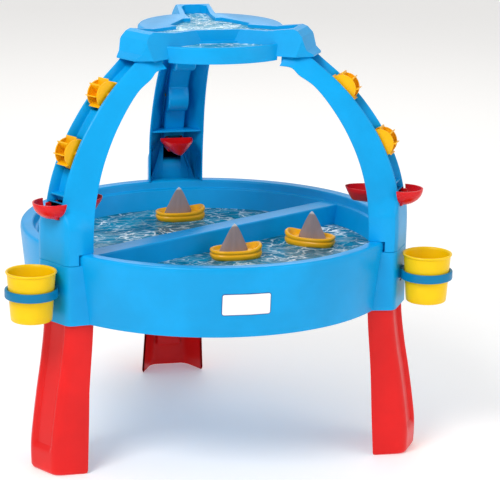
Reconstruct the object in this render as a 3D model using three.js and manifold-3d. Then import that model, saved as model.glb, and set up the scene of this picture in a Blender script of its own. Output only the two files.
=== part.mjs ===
// Sand and water table: a round two-pool basin on three splayed legs, with three arched
// water-channel arms that meet under a raised top tray. Water wheels turn in the channels, red
// scoops pour the water into the pools, and cups and toy boats lift off.
// Millimetres, +Z up. The floor is Z = 0. While the parts are made, the basin's axis is X = Y = 0;
// the finished group is moved back by AXIS_Y so that the origin is under the middle of the object.
import * as THREE from 'three';
import { mergeVertices } from 'three/addons/utils/BufferGeometryUtils.js';
import Module from 'manifold-3d';

// ---- driving dimensions ---------------------------------------------------------------------
const SIDES = { rear: 90, left: 210, right: 330 }; // azimuth of each arm and leg, degrees
const AXIS_Y = 24.5; // distance of the basin's axis in front of the object's middle
const GAP = 0.3; // clearance between touching pieces
const WALL = 3; // moulded wall thickness

const RIM_R = 309; // basin rim, outside
const RIM_Z = 355.7;
const RIM_INNER_R = 288;
const LEDGE_Z = 341.5; // ledge inside the rim, level with the divider's top
const LEDGE_R = 281;
const POOL_FLOOR_Z = 266;
const POOL_FLOOR_R = 258;
const SKIRT_Z = 242.5; // lower edge of the basin's skirt
const SKIRT_R = 298;
const ROUND_STEPS = 48;
const DIVIDER_AZIMUTH = 30;
const DIVIDER_HALF = 18;

const LOBE_R = 326.5; // outer face of the corner lobes and arm posts
const LOBE_Z = 339;
const POST_SHOULDER_Z = 396;

const ARM_STEPS = 10;
const ARM_EDGE_HALF = 21; // half width between the channel's outer edges
const ARM_LIP_HALF = 48; // half width between the arm's inner edges, at the bottom
const ARM_TOP_LIP_HALF = 40;
const CHANNEL_END_Z = 437;
const CHANNEL_FLOOR_HALF = 14.5;
const SHELF_Z = 444;

const WHEEL_HUBS = { upper: 596, lower: 511 }; // height on the channel's edge beside each hub
const WHEEL_SINK = 5.5; // hub below the channel's edges
const WHEEL_DISC_R = 22.5;
const WHEEL_TIP_R = 27;
const WHEEL_HALF = 13;
const WHEEL_PADDLES = 8;
const AXLE_R = 2.5;
const AXLE_HALF = 18.6;

const SCOOP_RIM_Z = 436;
const SCOOP_NECK = { low: 409.4, high: 432.6, half: 14.8 };

const DECK_R = 118; // top tray
const DECK_Z = 680;
const DECK_LOW_Z = 636;
const FRONT_POOL_Z = 662; // rim of the low front pool
const FRONT_POOL = { y: -40, halfWidth: 117, reach: 80 }; // its oval outline
const LIP_Y = -55.5; // straight lip between the upper and the front pool
const TRAY_CHANNEL_FLOOR_Z = 667;
const HOOD_TOP = { rear: 690, left: 685.5, right: 685.5 };
const HOOD_END_R = 179;

const LEG_TOP_Z = 335.6;
const LEG_LIP_HALF = 49;
const LEG_FACE_HALF = 35;
const LEG_WALL = 3.5;
const LEG_FLARE = { from: 130, half: 6.5 }; // the lips spread towards the foot

const CUP_R = 368.9; // distance of the cups' axes from the basin's axis
const CUP = { low: 254, high: 333, lowR: 32.5, highR: 37.8, lipR: 40, wall: 2 };
const CUP_STEPS = 24;
const RING = { low: 291, high: 305, r: 41.5 };

const BOATS = {
  rear: { x: -8, y: 200, heading: 4 },
  front: { x: 31, y: -68, heading: 4 },
  right: { x: 171, y: -6, heading: 145 },
};
const HULL_Z = 304; // underside of a floating hull
const HULL = { length: 86, width: 54, height: 22 };
const SAIL = { length: 50, width: 17, height: 46 };

const LABEL = { azimuth: 269.2, z: 296.5, width: 77, height: 35 };

// ---- solids ---------------------------------------------------------------------------------
const wasm = await Module();
wasm.setup();
const radians = THREE.MathUtils.degToRad;

function solid(geometry) {
  const bare = geometry.clone();
  bare.deleteAttribute('normal');
  bare.deleteAttribute('uv');
  const merged = mergeVertices(bare, 1e-3);
  const vertProperties = Float32Array.from(merged.attributes.position.array);
  const triangles = [];
  let volume = 0;
  const [a, b, c] = [new THREE.Vector3(), new THREE.Vector3(), new THREE.Vector3()];
  for (let i = 0; i < merged.index.count; i += 3) {
    const [i0, i1, i2] = [merged.index.getX(i), merged.index.getX(i + 1), merged.index.getX(i + 2)];
    if (i0 === i1 || i1 === i2 || i2 === i0) continue;
    a.fromBufferAttribute(merged.attributes.position, i0);
    b.fromBufferAttribute(merged.attributes.position, i1);
    c.fromBufferAttribute(merged.attributes.position, i2);
    volume += a.dot(b.cross(c));
    triangles.push([i0, i1, i2]);
  }
  const triVerts = Uint32Array.from((volume < 0 ? triangles.map((t) => [t[0], t[2], t[1]]) : triangles).flat());
  return new wasm.Manifold(new wasm.Mesh({ numProp: 3, vertProperties, triVerts }));
}

function geometryOf(manifold) {
  const mesh = manifold.getMesh();
  const geometry = new THREE.BufferGeometry();
  geometry.setAttribute('position', new THREE.Float32BufferAttribute(mesh.vertProperties, 3));
  geometry.setIndex(new THREE.Uint32BufferAttribute(mesh.triVerts, 1));
  geometry.computeVertexNormals();
  return geometry;
}

const joined = (first, ...others) => others.reduce((sum, next) => sum.add(next), first);
const cut = (first, ...others) => others.reduce((rest, next) => rest.subtract(next), first);

// A solid of revolution about Z; each point of the profile is [radius, height].
function turned(profile, steps = ROUND_STEPS) {
  const points = profile.map(([r, z]) => new THREE.Vector2(r, z));
  return solid(new THREE.LatheGeometry(points, steps).rotateX(Math.PI / 2));
}

function shapeOf(points) {
  return new THREE.Shape(points.map(([x, y]) => new THREE.Vector2(x, y)));
}

// A prism standing on the plan outline, from one height to another.
function prism(points, low, high) {
  const geometry = new THREE.ExtrudeGeometry(shapeOf(points), { depth: high - low, bevelEnabled: false });
  return solid(geometry.translate(0, 0, low));
}

// A plate whose outline lies in the radial plane, [radius, height], thick across it.
function sidePlate(points, half) {
  const geometry = new THREE.ExtrudeGeometry(shapeOf(points), { depth: 2 * half, bevelEnabled: false });
  return solid(geometry.rotateX(Math.PI / 2).translate(0, half, 0));
}

// A bar along X whose section is [y, z].
function endPlate(points, low, high) {
  const geometry = new THREE.ExtrudeGeometry(shapeOf(points), { depth: high - low, bevelEnabled: false });
  return solid(geometry.rotateX(Math.PI / 2).rotateZ(Math.PI / 2).translate(low, 0, 0));
}

function box(low, high) {
  const size = high.map((value, i) => value - low[i]);
  const geometry = new THREE.BoxGeometry(...size);
  return solid(geometry.translate(low[0] + size[0] / 2, low[1] + size[1] / 2, low[2] + size[2] / 2));
}

// A cylinder along Y, the direction across an arm.
function crossBar(radius, half, x, z, steps = 24) {
  return solid(new THREE.CylinderGeometry(radius, radius, 2 * half, steps).translate(x, 0, z));
}

// A skin through closed rings with equal numbers of points, with flat ends. Rings are convex.
function loft(rings) {
  const count = rings[0].length;
  const last = (rings.length - 1) * count;
  const index = [];
  for (let i = 0; i + 1 < rings.length; i += 1) {
    for (let k = 0; k < count; k += 1) {
      const near = i * count + k;
      const next = i * count + ((k + 1) % count);
      index.push(near, next, next + count, near, next + count, near + count);
    }
  }
  for (let k = 1; k + 1 < count; k += 1) {
    index.push(0, k + 1, k, last, last + k, last + k + 1);
  }
  const geometry = new THREE.BufferGeometry();
  geometry.setAttribute('position', new THREE.Float32BufferAttribute(rings.flat(2), 3));
  geometry.setIndex(index);
  return solid(geometry);
}

// Mirrors a half outline, given from the -Y side, to the +Y side.
function symmetric(half) {
  return [...half, ...half.map(([x, y]) => [x, -y]).reverse()];
}

const aroundZ = (manifold, azimuth) => manifold.rotate([0, 0, azimuth]);

// ---- materials ------------------------------------------------------------------------------
const plastic = (color, roughness = 0.35) => () =>
  new THREE.MeshStandardMaterial({ color, roughness, metalness: 0 });
const bluePlastic = plastic(0x00a2e4);
const tealPlastic = plastic(0x0a86b8, 0.4);
const redPlastic = plastic(0xe3202b);
const yellowPlastic = plastic(0xfccf05, 0.4);
const hullPlastic = plastic(0xf9bb1c, 0.4);
const greyPlastic = plastic(0x8f8486, 0.5);
const labelFilm = plastic(0xf6f6f4, 0.45);

// ---- basin ----------------------------------------------------------------------------------
// Radius of the skirt's outer face at a height.
function skirtRadius(z) {
  return SKIRT_R + ((RIM_R - SKIRT_R) * (z - SKIRT_Z)) / (RIM_Z - 8 - SKIRT_Z);
}

function basinShell() {
  return turned([
    [0, POOL_FLOOR_Z],
    [POOL_FLOOR_R, POOL_FLOOR_Z],
    [POOL_FLOOR_R + 9, POOL_FLOOR_Z + 8],
    [LEDGE_R - 1, LEDGE_Z - 1.5],
    [LEDGE_R + 0.5, LEDGE_Z],
    [RIM_INNER_R - 3, LEDGE_Z],
    [RIM_INNER_R, RIM_Z - 3],
    [RIM_INNER_R + 3, RIM_Z],
    [RIM_R - 8, RIM_Z],
    [RIM_R - 2.5, RIM_Z - 2.5],
    [RIM_R, RIM_Z - 8],
    [SKIRT_R, SKIRT_Z],
    [SKIRT_R - WALL, SKIRT_Z],
    [RIM_R - WALL, RIM_Z - 9],
    [RIM_R - 9, RIM_Z - WALL],
    [RIM_INNER_R + 4, RIM_Z - WALL],
    [RIM_INNER_R + 1.5, LEDGE_Z - WALL],
    [LEDGE_R + 1.5, LEDGE_Z - WALL],
    [POOL_FLOOR_R + 12, POOL_FLOOR_Z + 7],
    [POOL_FLOOR_R + 1, POOL_FLOOR_Z - WALL],
    [0, POOL_FLOOR_Z - WALL],
  ]);
}

// The wall between the two pools: hollow, open below, ending inside the pool's wall.
function dividerHalf(z) {
  return DIVIDER_HALF + (3 * (LEDGE_Z - z)) / (LEDGE_Z - POOL_FLOOR_Z);
}

function dividerBar(inset, top) {
  const low = POOL_FLOOR_Z - WALL;
  const round = inset > 0 ? 0 : 2;
  const section = [
    [-dividerHalf(low) + inset, low],
    [dividerHalf(low) - inset, low],
    [DIVIDER_HALF - inset, top - round],
    [DIVIDER_HALF - inset - round, top],
    [-DIVIDER_HALF + inset + round, top],
    [-DIVIDER_HALF + inset, top - round],
  ];
  const points = round ? section : section.filter((_, i) => i !== 3 && i !== 4);
  return endPlate(points, -LEDGE_R, LEDGE_R);
}

function divider() {
  const inPool = turned([[0, 255], [POOL_FLOOR_R + 11, 255], [LEDGE_R, LEDGE_Z], [0, LEDGE_Z]]);
  return aroundZ(dividerBar(0, LEDGE_Z), DIVIDER_AZIMUTH).intersect(inPool);
}

function dividerHollow() {
  const insideWall = turned([[0, 250], [POOL_FLOOR_R + 1, 250], [POOL_FLOOR_R + 17, LEDGE_Z], [0, LEDGE_Z]]);
  return aroundZ(dividerBar(WALL, LEDGE_Z - WALL).translate([0, 0, -0.5]), DIVIDER_AZIMUTH).intersect(insideWall);
}

const LOBE_OUTLINE = symmetric([[286, -54.5], [305, -46], [317, -41.5], [323.5, -38], [LOBE_R, -31]]);
const LOBE_HOLLOW = symmetric([[284, -51.5], [305, -42.6], [316, -38.2], [320.8, -35.6], [323.3, -29.5]]);
const TAB = { low: 284, high: 294, half: 5 };

function basin() {
  let body = joined(basinShell(), divider());
  for (const azimuth of Object.values(SIDES)) {
    body = body.add(aroundZ(prism(LOBE_OUTLINE, SKIRT_Z, LOBE_Z), azimuth));
  }
  for (const azimuth of Object.values(SIDES)) {
    const slot = box([318, -TAB.half - 1, TAB.low - 1], [330, TAB.half + 1, TAB.high + 1]);
    const hollow = prism(LOBE_HOLLOW, SKIRT_Z - 1, LOBE_Z - WALL);
    body = cut(body, aroundZ(hollow, azimuth), aroundZ(slot, azimuth));
  }
  return body.subtract(dividerHollow());
}

// ---- arms -----------------------------------------------------------------------------------
// Both edges of an arm in its radial plane, from the top down: [radius, height].
const INNER_EDGE = new THREE.SplineCurve([
  [128, 627], [148, 625], [161, 614], [187, 598], [214, 569], [241, 530], [263, 485], [277, 437],
  [282, 390], [282.5, LOBE_Z + GAP],
].map(([r, z]) => new THREE.Vector2(r, z)));
const OUTER_EDGE = new THREE.SplineCurve([
  [140, 655], [163, 648], [186, 631], [221, 603], [254, 569], [286, 525], [310, 475], [322, 432],
  [LOBE_R, 390], [LOBE_R, LOBE_Z + GAP],
].map(([r, z]) => new THREE.Vector2(r, z)));

function armStation(u) {
  const inner = INNER_EDGE.getPointAt(u);
  const outer = OUTER_EDGE.getPointAt(u);
  const lip = THREE.MathUtils.lerp(ARM_TOP_LIP_HALF, ARM_LIP_HALF, Math.min(1, u / 0.7));
  return { inner, outer, lip, depth: inner.distanceTo(outer) };
}

// The part of the arm's length at which its outer edge is at a height.
function stationAt(height) {
  let [above, below] = [0, 1];
  for (let i = 0; i < 30; i += 1) {
    const middle = (above + below) / 2;
    if (OUTER_EDGE.getPointAt(middle).y > height) above = middle;
    else below = middle;
  }
  return above;
}

// A bar along the arm. Its section is a trapezium between two depths, counted from the inner
// edges outwards, with a half width at each.
function armBar(from, to, section) {
  const steps = [];
  for (let i = 1; i < ARM_STEPS; i += 1) steps.push(i / ARM_STEPS);
  const rings = [];
  for (const u of [from, ...steps.filter((step) => step > from && step < to), to]) {
    const station = armStation(u);
    const { low, high, lowHalf, highHalf } = section(station);
    const at = (depth, y) => {
      const p = station.inner.clone().lerp(station.outer, depth / station.depth);
      return [p.x, y, p.y];
    };
    rings.push([at(low, -lowHalf), at(high, -highHalf), at(high, highHalf), at(low, lowHalf)]);
  }
  return loft(rings);
}

const armSkin = (grow) => ({ lip, depth }) =>
  ({ low: -grow, high: depth + grow, lowHalf: lip + grow, highHalf: ARM_EDGE_HALF + grow });

function armHollow({ lip, depth }) {
  const slope = (lip - ARM_EDGE_HALF) / depth;
  const wall = WALL * Math.hypot(1, slope);
  return {
    low: -8,
    high: depth - WALL,
    lowHalf: lip + 8 * slope - wall,
    highHalf: ARM_EDGE_HALF + WALL * slope - wall,
  };
}

const channelDepth = (depth) => 0.22 * depth + 7.5;

function channelWalls({ depth }) {
  return {
    low: depth - channelDepth(depth) - WALL,
    high: depth,
    lowHalf: CHANNEL_FLOOR_HALF + WALL,
    highHalf: ARM_EDGE_HALF,
  };
}

function channelSpace({ depth }) {
  return {
    low: depth - channelDepth(depth),
    high: depth + 6,
    lowHalf: CHANNEL_FLOOR_HALF,
    highHalf: ARM_EDGE_HALF - WALL + 1.2,
  };
}

// The hub of a wheel, in the arm's radial plane.
function wheelHub(level) {
  const { inner, outer, depth } = armStation(stationAt(WHEEL_HUBS[level]));
  return outer.clone().lerp(inner, WHEEL_SINK / depth);
}

const POST_OUTLINE = symmetric([[282.4, -48], [305, -46], [317, -41.5], [323.5, -38], [LOBE_R, -31]]);

function inset(outline, by, centre = 300) {
  return outline.map(([x, y]) => [x > centre ? x - by : x, y - Math.sign(y) * by]);
}

function level(outline, z) {
  return outline.map(([x, y]) => [x, y, z]);
}

function post() {
  return loft([
    level(POST_OUTLINE, LOBE_Z + GAP),
    level(POST_OUTLINE, POST_SHOULDER_Z),
    level(inset(POST_OUTLINE, 3), POST_SHOULDER_Z + 9),
    level(inset(POST_OUTLINE, 10), POST_SHOULDER_Z + 30),
  ]);
}

function postHollow() {
  const outline = symmetric([[270, -44.8], [283.5, -44.8], [304, -42.8], [315.5, -38.4], [320.5, -35],
    [323.4, -29.5]]);
  return loft([
    level(outline, LOBE_Z - 2),
    level(outline, POST_SHOULDER_Z - 3),
    level(inset(outline, 8), POST_SHOULDER_Z + 20),
  ]);
}

// The arm's top end stands up inside the tray's hood.
function armPlug() {
  const block = loft([
    level(symmetric([[128, -34], [148, -34]]), 627),
    level(symmetric([[128, -27], [148, -27]]), TRAY_CHANNEL_FLOOR_Z - WALL - GAP),
  ]);
  const hollow = loft([
    level(symmetric([[131, -31], [150, -31]]), 620),
    level(symmetric([[131, -24.5], [150, -24.5]]), TRAY_CHANNEL_FLOOR_Z - 2 * WALL - GAP),
  ]);
  return block.subtract(hollow);
}

function arm() {
  const channelEnd = stationAt(CHANNEL_END_Z);
  const skin = armBar(0, 1, armSkin(0));
  const hubs = [wheelHub('upper'), wheelHub('lower')];
  const below = 60;
  const pocketLid = armBar(0.04, channelEnd, ({ depth }) =>
    ({ low: -below, high: depth - channelDepth(depth) + 2, lowHalf: 40, highHalf: 40 }));
  const pocket = (hub, radius, half) => crossBar(radius, half, hub.x, hub.y, 16);
  const shelf = box([270, -60, SHELF_Z], [340, 60, SHELF_Z + WALL]).intersect(skin);
  let body = joined(skin, post());
  body = cut(body, armBar(0, 1, armHollow), postHollow());
  const channel = armBar(0, channelEnd + 0.012, channelWalls).intersect(skin);
  body = joined(body, channel, shelf, armPlug());
  for (const hub of hubs) {
    body = body.add(pocket(hub, WHEEL_TIP_R + 4, CHANNEL_FLOOR_HALF + WALL).intersect(pocketLid));
  }
  body = body.subtract(armBar(0.03, channelEnd, channelSpace));
  for (const hub of hubs) {
    body = cut(
      body,
      pocket(hub, WHEEL_TIP_R + 1.5, CHANNEL_FLOOR_HALF),
      pocket(hub, AXLE_R + 0.5, AXLE_HALF + 1.5),
    );
  }
  const neck = SCOOP_NECK;
  const scoopHole = box([300, -neck.half - 0.4, neck.low - 0.4], [335, neck.half + 0.4, neck.high + 0.4]);
  const rimSpace = turned([[0, 330], [RIM_R + GAP, 330], [RIM_R + GAP, RIM_Z + GAP], [0, RIM_Z + GAP]]);
  return cut(body, scoopHole, rimSpace);
}

// ---- water wheels ---------------------------------------------------------------------------
function wheel() {
  const hub = crossBar(5.5, WHEEL_HALF, 0, 0, 8);
  const axle = crossBar(AXLE_R, AXLE_HALF, 0, 0, 6);
  const disc = () => crossBar(WHEEL_DISC_R, 1, 0, 0, 16);
  const discs = [-1, 1].map((side) => disc().translate([0, side * (WHEEL_HALF - 1), 0]));
  const paddles = [];
  for (let i = 0; i < WHEEL_PADDLES; i += 1) {
    const paddle = box([3, -WHEEL_HALF + 0.6, -1], [WHEEL_TIP_R, WHEEL_HALF - 0.6, 1]);
    paddles.push(paddle.rotate([0, (360 * i) / WHEEL_PADDLES, 0]));
  }
  return joined(hub, axle, ...discs, ...paddles);
}

// ---- scoops ---------------------------------------------------------------------------------
// Half an ellipse that bulges towards the basin's axis, closed by a straight back.
function spoutOutline(back, long, half) {
  const points = [];
  for (let i = 0; i <= 8; i += 1) {
    const angle = Math.PI / 2 + (Math.PI * i) / 8;
    points.push([back + long * Math.cos(angle), half * Math.sin(angle)]);
  }
  return points;
}

function spout(levels, back) {
  return loft(levels.map(([z, long, half]) => level(spoutOutline(back, long, half), z)));
}

function bowl(shrink) {
  const ball = new THREE.SphereGeometry(1, 16, 10).scale(34 - shrink, 27 - shrink, 31 - shrink);
  return solid(ball.rotateX(Math.PI / 2).scale(1, 1, 1).translate(324, 0, SCOOP_RIM_Z));
}

function scoop() {
  const shell = 2.5;
  const neck = SCOOP_NECK;
  const keepLow = box([317, -40, 380], [370, 40, SCOOP_RIM_Z]);
  const armNearby = joined(armBar(0.4, 1, armSkin(GAP)), post()).translate([GAP, 0, 0]);
  const catcher = cut(bowl(0).intersect(keepLow), armNearby);
  const through = box([281, -neck.half, neck.low], [330, neck.half, neck.high]);
  const pourer = spout([[neck.low, 42, 9.5], [418, 46, 18], [427, 50.5, 26.5], [433, 53, 28]], 283.5);
  const body = joined(catcher, through, pourer);
  const pouredOut = spout([[neck.low + shell, 38, 8], [418, 41, 15.5], [427, 46, 24], [440, 50, 26]], 281);
  const trough = box([270, -neck.half + shell, neck.low + shell], [331, neck.half - shell, 445]);
  return cut(body, bowl(shell).intersect(box([322, -40, 380], [370, 40, 480])), trough, pouredOut);
}

// ---- top tray -------------------------------------------------------------------------------
// Side outline of a hood: [radius, height].
function hoodOutline(top, by) {
  return [
    [40, DECK_LOW_Z + 6 - 10 * by],
    [40, DECK_Z - by],
    [104, DECK_Z - by],
    [146 - by, top - by],
    [154 - by, top - 3 - by],
    [162 - by, top - 12 - by],
    [169 - by, 652 - by],
    [HOOD_END_R - by, 645 - by],
    [HOOD_END_R - by, 642 - 10 * by],
  ];
}

function hood(top, by) {
  const side = sidePlate(hoodOutline(top, by), 60);
  const across = endPlate([[-41 + by, 636], [41 - by, 636], [26 - by, 696], [-26 + by, 696]], 20, 200);
  const plan = symmetric([[30, -60], [140, -60 + by], [156 - by, -38 + by], [168 - by, -29 + by],
    [HOOD_END_R - by, -22 + by]]);
  return side.intersect(across).intersect(prism(plan, 590, 700));
}

// The part of the front sector that the low pool takes, outside the upper walls.
function frontSector(by) {
  const reach = 150;
  const corner = -LIP_Y * Math.sqrt(3) - 2 * 27;
  const [outX, outY] = [corner + reach * Math.cos(radians(30)), LIP_Y - reach * Math.sin(radians(30))];
  return [[-corner - by, LIP_Y + by], [corner + by, LIP_Y + by], [outX + by, outY + by], [outX, -200],
    [-outX, -200], [-outX - by, outY + by]];
}

// The low pool's oval, drawn in by a distance.
function oval(by) {
  return Array.from({ length: 72 }, (_, i) => {
    const turn = radians(5 * i);
    const x = (FRONT_POOL.halfWidth - by) * Math.cos(turn);
    return [x, FRONT_POOL.y + (FRONT_POOL.reach - by) * Math.sin(turn)];
  });
}

function trayDeck() {
  const deck = turned([
    [0, DECK_LOW_Z],
    [DECK_R + 2, DECK_LOW_Z],
    [DECK_R, DECK_Z - 3],
    [DECK_R - 3, DECK_Z],
    [0, DECK_Z],
  ]);
  const frontBody = loft([
    level(oval(-1.5), DECK_LOW_Z),
    level(oval(0), FRONT_POOL_Z - 2),
    level(oval(2), FRONT_POOL_Z),
  ]);
  return joined(deck.subtract(prism(frontSector(0), FRONT_POOL_Z, DECK_Z + 5)), frontBody);
}

function frontPoolSpace() {
  const inside = loft([level(oval(8), FRONT_POOL_Z - 11), level(oval(4.5), FRONT_POOL_Z + 5)]);
  return inside.intersect(prism(frontSector(-3), 600, 700));
}

function frontPoolCasing() {
  return prism(frontSector(0.5), FRONT_POOL_Z - 14, DECK_Z).intersect(prism(oval(-0.5), 600, 700));
}

// Three channels that run from the middle of the upper pool to the hoods.
function upperPoolSpace() {
  const channel = symmetric([[-20, -21], [136, -21], [143, -14]]);
  const channels = Object.values(SIDES).map((azimuth) =>
    aroundZ(prism(channel, TRAY_CHANNEL_FLOOR_Z, 700), azimuth));
  const middle = [[-36, LIP_Y + 4.5], [36, LIP_Y + 4.5], [66, 4], [33, 62], [-33, 62], [-66, 4]];
  return joined(prism(middle, TRAY_CHANNEL_FLOOR_Z, 700), ...channels);
}

function topTray() {
  const names = Object.keys(SIDES);
  const hoods = names.map((name) => aroundZ(hood(HOOD_TOP[name], 0), SIDES[name]));
  const hoodSpaces = names.map((name) => aroundZ(hood(HOOD_TOP[name], WALL), SIDES[name]));
  const under = turned([[0, 620], [DECK_R + 1, 620], [DECK_R - WALL, 690], [0, 690]]);
  const lowCeiling = prism([[-250, -250], [250, -250], [250, 250], [-250, 250]], 560, TRAY_CHANNEL_FLOOR_Z - WALL);
  const underFront = loft([level(oval(1), 620), level(oval(WALL), FRONT_POOL_Z - 2)]);
  const underDeck = joined(under, underFront).subtract(frontPoolCasing());
  const space = joined(underDeck, ...hoodSpaces).intersect(lowCeiling);
  const spillways = names.map((name) =>
    aroundZ(box([130, -11, 655], [141, 11, 690]), SIDES[name]));
  const frontSpace = frontPoolSpace().subtract(joined(...hoods));
  return cut(joined(trayDeck(), ...hoods), space, upperPoolSpace(), frontSpace, ...spillways);
}

// ---- legs -----------------------------------------------------------------------------------
// Radius of the leg's inner lips and outer face down its height.
const LEG_LIPS = new THREE.SplineCurve([[LEG_TOP_Z, 285], [240, 285], [150, 292], [70, 297], [0, 302]]
  .map(([z, r]) => new THREE.Vector2(z, r)));
const LEG_FACE = new THREE.SplineCurve([[LEG_TOP_Z, 322.6], [240, 322.6], [180, 329.5], [130, 338.5], [75, 347], [38, 351],
  [0, 350]].map(([z, r]) => new THREE.Vector2(z, r)));

function radiusAt(curve, z) {
  let [above, below] = [0, 1];
  for (let i = 0; i < 30; i += 1) {
    const middle = (above + below) / 2;
    if (curve.getPoint(middle).x > z) above = middle;
    else below = middle;
  }
  return curve.getPoint(above).y;
}

function legBar(low, high, section) {
  const rings = [];
  const steps = 8;
  for (let i = 0; i <= steps; i += 1) {
    const z = high - ((high - low) * i) / steps;
    rings.push(level(symmetric(section(radiusAt(LEG_LIPS, z), radiusAt(LEG_FACE, z), z)), z));
  }
  return loft(rings);
}

const lipHalf = (z) => LEG_LIP_HALF + LEG_FLARE.half * Math.max(0, 1 - z / LEG_FLARE.from);

function leg() {
  const skin = legBar(0, LEG_TOP_Z, (lips, face, z) =>
    [[lips, -lipHalf(z)], [lips + 2, -lipHalf(z)], [face - 5, -LEG_FACE_HALF - 1.5],
      [face, -LEG_FACE_HALF + 5]]);
  const hollow = legBar(-2, LEG_TOP_Z - LEG_WALL, (lips, face, z) =>
    [[lips - 10, LEG_WALL - lipHalf(z)], [lips + 2, LEG_WALL - lipHalf(z)],
      [face - 5 - LEG_WALL, -LEG_FACE_HALF + 2.5], [face - LEG_WALL, -LEG_FACE_HALF + 8]]);
  // The outer face has a shallow recess, which shows inside as a raised strip; it ends in a sill.
  const recess = (deep, half) => legBar(40, 258, (lips, face, z) => {
    const sunk = Math.min(1, Math.max(0, (z - 40) / 16)) * Math.min(1, Math.max(0, (258 - z) / 12));
    return [[face - deep * sunk - 0.2, -half], [face + 8, -half - 5]];
  });
  const strip = legBar(38, 262, (lips, face) => [[face - 6 - LEG_WALL, -21.5], [face - 2, -24.5]]);
  const tab = box([318, -TAB.half, TAB.low], [LOBE_R - 0.8, TAB.half, TAB.high]);
  const body = joined(skin.subtract(hollow), strip.intersect(skin), tab);
  return cut(body, recess(6, 17.5));
}

// ---- cups and their rings -------------------------------------------------------------------
function cup() {
  const { low, high, lowR, highR, lipR, wall } = CUP;
  return turned([
    [0, low],
    [lowR - 2, low],
    [lowR, low + 2],
    [highR, high - 4],
    [lipR, high - 1.5],
    [lipR, high],
    [lipR - 2, high],
    [highR - wall, high - 4],
    [lowR - wall, low + 3.5],
    [0, low + 3],
  ], CUP_STEPS);
}

const cupRadius = (z) => CUP.lowR + ((CUP.highR - CUP.lowR) * (z - CUP.low - 2)) / (CUP.high - CUP.low - 6);

function ring() {
  const { low, high, r } = RING;
  const fit = 0.5;
  const band = turned([
    [cupRadius(low) + fit, low],
    [r - 1.5, low],
    [r, low + 1.5],
    [r, high - 1.5],
    [r - 1.5, high],
    [cupRadius(high) + fit, high],
    [cupRadius(low) + fit, low],
  ], CUP_STEPS);
  const pad = box([LOBE_R + GAP - CUP_R, -15, low - 1], [-r + 5, 15, high + 1]);
  const bore = turned([[0, low - 5], [cupRadius(low - 5) + fit, low - 5], [cupRadius(high + 5) + fit, high + 5],
    [0, high + 5]], CUP_STEPS);
  return band.add(pad.subtract(bore)).translate([CUP_R, 0, 0]);
}

// ---- boats ----------------------------------------------------------------------------------
function hullOutline(scale, z, sheer) {
  const points = [];
  for (let i = 0; i < 16; i += 1) {
    const angle = (2 * Math.PI * i) / 16;
    const along = Math.sign(Math.cos(angle)) * Math.abs(Math.cos(angle)) ** 0.85;
    const across = Math.sign(Math.sin(angle)) * Math.abs(Math.sin(angle)) ** 0.8;
    const x = (HULL.length / 2 - scale) * along;
    const rise = sheer * Math.max(0, along) ** 3;
    points.push([x, (HULL.width / 2 - scale) * across, z + rise]);
  }
  return points;
}

function hull() {
  const top = HULL.height;
  const body = loft([
    hullOutline(15, 0, 0),
    hullOutline(9, 2, 0),
    hullOutline(3, 8, 0),
    hullOutline(0, 11, 1),
    hullOutline(0, top - 4, 6),
    hullOutline(2, top - 2, 7),
  ]);
  const well = loft([hullOutline(10, top - 8, 0), hullOutline(6, top - 1, 7), hullOutline(5.5, top + 8, 7)]);
  return body.subtract(well).translate([0, 0, HULL_Z]);
}

function sail() {
  const base = HULL_Z + HULL.height - 8 + GAP;
  const { length, width, height } = SAIL;
  const ringAt = (along, across, z) => [[-along, 0, z], [0, -across, z], [along, 0, z], [0, across, z]];
  return loft([
    ringAt(length / 2 - 1, width / 2, base),
    ringAt(length / 2, width / 2, base + 8),
    ringAt(length / 2 - 7, width / 2 - 2, base + 0.55 * height),
    ringAt(3, 3, base + height - 2),
    ringAt(1.2, 1.2, base + height),
  ]).translate([-4, 0, 0]);
}

// ---- label ----------------------------------------------------------------------------------
function roundedPlate(width, height, corner) {
  const points = [];
  for (let i = 0; i < 16; i += 1) {
    const quarter = Math.floor(i / 4);
    const angle = (Math.PI / 2) * (quarter + (i % 4) / 3);
    const [signX, signY] = [[1, 1], [-1, 1], [-1, -1], [1, -1]][quarter];
    points.push([
      signX * (width / 2 - corner) + corner * Math.cos(angle),
      signY * (height / 2 - corner) + corner * Math.sin(angle),
    ]);
  }
  return points;
}

function frontLabel() {
  const [low, high] = [LABEL.z - LABEL.height, LABEL.z + LABEL.height];
  const skin = turned([
    [skirtRadius(low) + GAP, low],
    [skirtRadius(low) + GAP + 0.8, low],
    [skirtRadius(high) + GAP + 0.8, high],
    [skirtRadius(high) + GAP, high],
    [skirtRadius(low) + GAP, low],
  ]);
  const outline = endPlate(roundedPlate(LABEL.width, LABEL.height, 4), 290, 330);
  return skin.intersect(aroundZ(outline.translate([0, 0, LABEL.z]), LABEL.azimuth));
}

// ---- assembly -------------------------------------------------------------------------------
const group = new THREE.Group();
group.position.y = -AXIS_Y;

function add(parent, name, manifold, material) {
  const mesh = new THREE.Mesh(geometryOf(manifold), material);
  mesh.name = name;
  parent.add(mesh);
  return mesh;
}

function addBoat(name, { x, y, heading }) {
  const boat = new THREE.Group();
  boat.position.set(x, y, 0);
  boat.rotation.z = radians(heading);
  add(boat, `boat_${name}_hull`, hull(), hullPlastic());
  add(boat, `boat_${name}_sail`, sail(), greyPlastic());
  group.add(boat);
}

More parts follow.
